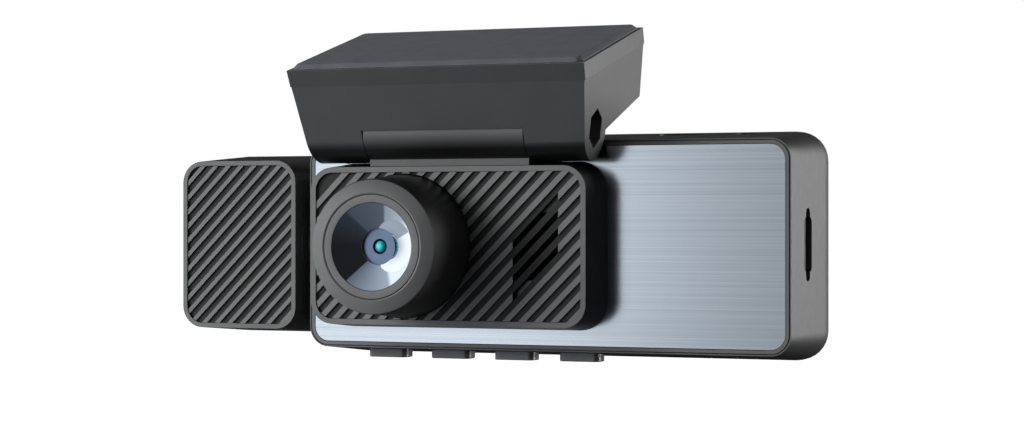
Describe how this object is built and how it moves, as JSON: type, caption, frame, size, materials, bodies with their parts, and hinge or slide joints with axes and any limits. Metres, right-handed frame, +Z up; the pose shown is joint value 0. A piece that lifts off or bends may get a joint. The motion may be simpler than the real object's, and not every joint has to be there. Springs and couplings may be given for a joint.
{
  "type": "dash camera",
  "caption": "Dash camera with a tilting windscreen bracket, a front lens module on a brushed plate, a rear screen and a cabin camera that turns on its end.",
  "frame": {"origin": "middle of the adhesive pad's face, which lies against the windscreen", "axes": "+X to the right seen from the front, +Y towards the cabin, +Z up with the front lens level; the pad's face leans back 15.2 degrees"},
  "size_m": [0.1431, 0.0522, 0.0713],
  "materials": {
    "housing_plastic": "fine-textured dark grey moulding",
    "button_plastic": "satin dark grey moulding",
    "rib_plastic": "dark grey with raised diagonal ribs",
    "black_plastic": "matt black",
    "pivot_plastic": "smooth dark grey acetal",
    "pad_foam": "dark adhesive foam with a release film",
    "washer_rubber": "matt black rubber",
    "brushed_metal": "brushed lengthways, pale blue-grey anodised",
    "polished_metal": "mirror polished",
    "hub_metal": "satin blue-grey anodised",
    "raw_aluminium": "plain",
    "socket_metal": "bright nickel-plated",
    "screw_steel": "zinc-plated",
    "circuit_board": "green solder mask",
    "chip_black": "moulded chip package",
    "capacitor_sleeve": "shrink sleeve",
    "display_panel": "switched-off display",
    "screen_black": "black glass, polished",
    "lens_glass": "coated lens",
    "lamp_resin": "dark tinted resin",
    "card_plastic": "black moulded card"
  },
  "bodies": {
    "bracket": {"bracket_shell": "housing_plastic", "bracket_cover": "housing_plastic", "adhesive_pad": "pad_foam", "cover_screws": "screw_steel", "hinge_bolt": "screw_steel", "hinge_nut": "screw_steel"},
    "camera": {"tilt_knuckle": "housing_plastic", "knuckle_screws": "screw_steel", "friction_washers": "washer_rubber", "body_shell": "housing_plastic", "front_frame": "housing_plastic", "trim_plate": "brushed_metal", "rear_cover": "housing_plastic", "screen_glass": "screen_black", "lcd_panel": "display_panel", "main_board": "circuit_board", "board_screws": "screw_steel", "image_processor": "chip_black", "memory_chips": "chip_black", "heat_spreader": "raw_aluminium", "backup_capacitors": "capacitor_sleeve", "microphone": "socket_metal", "card_socket": "socket_metal", "usb_socket": "socket_metal", "rear_camera_jack": "black_plastic", "button_board": "circuit_board", "button_switches": "black_plastic", "case_screws": "screw_steel", "module_shell": "housing_plastic", "ribbed_panel": "rib_plastic", "module_screws": "screw_steel", "speaker": "black_plastic", "lens_barrel": "housing_plastic", "lens_ring": "housing_plastic", "polished_cone": "polished_metal", "lens_hub": "hub_metal", "front_lens": "lens_glass", "lens_holder": "black_plastic", "sensor_board": "circuit_board", "image_sensor": "chip_black", "pivot_bush": "pivot_plastic"},
    "cabin_camera": {"cabin_shell": "housing_plastic", "cabin_ribbed_panel": "rib_plastic", "cabin_rear_cover": "housing_plastic", "cabin_lens_barrel": "black_plastic", "cabin_lens": "lens_glass", "infrared_lamps": "lamp_resin", "cabin_board": "circuit_board", "cabin_screws": "screw_steel", "pivot_shaft": "pivot_plastic", "pivot_clip": "screw_steel"},
    "button_1": {"button_1": "button_plastic"},
    "button_2": {"button_2": "button_plastic"},
    "button_3": {"button_3": "button_plastic"},
    "button_4": {"button_4": "button_plastic"},
    "memory_card": {"memory_card": "card_plastic"}
  },
  "joints": [
    {"name": "camera_tilt", "type": "hinge", "parent": "bracket", "child": "camera", "pos_m": [0, -0.00615, -0.0184], "axis": [1, 0, 0], "range_deg": [-60, 15]},
    {"name": "cabin_camera_turn", "type": "hinge", "parent": "camera", "child": "cabin_camera", "pos_m": [-0.0394, 0.013, -0.0424], "axis": [1, 0, 0], "range_deg": [-90, 90]},
    {"name": "button_1_press", "type": "slide", "parent": "camera", "child": "button_1", "axis": [0, 0, 1], "range_m": [0, 0.0006], "stiffness_N_per_m": 400, "springref_m": -0.002},
    {"name": "button_2_press", "type": "slide", "parent": "camera", "child": "button_2", "axis": [0, 0, 1], "range_m": [0, 0.0006], "stiffness_N_per_m": 400, "springref_m": -0.002},
    {"name": "button_3_press", "type": "slide", "parent": "camera", "child": "button_3", "axis": [0, 0, 1], "range_m": [0, 0.0006], "stiffness_N_per_m": 400, "springref_m": -0.002},
    {"name": "button_4_press", "type": "slide", "parent": "camera", "child": "button_4", "axis": [0, 0, 1], "range_m": [0, 0.0006], "stiffness_N_per_m": 400, "springref_m": -0.002},
    {"name": "memory_card_slide", "type": "slide", "parent": "camera", "child": "memory_card", "axis": [1, 0, 0], "range_m": [0, 0.016]}
  ]
}
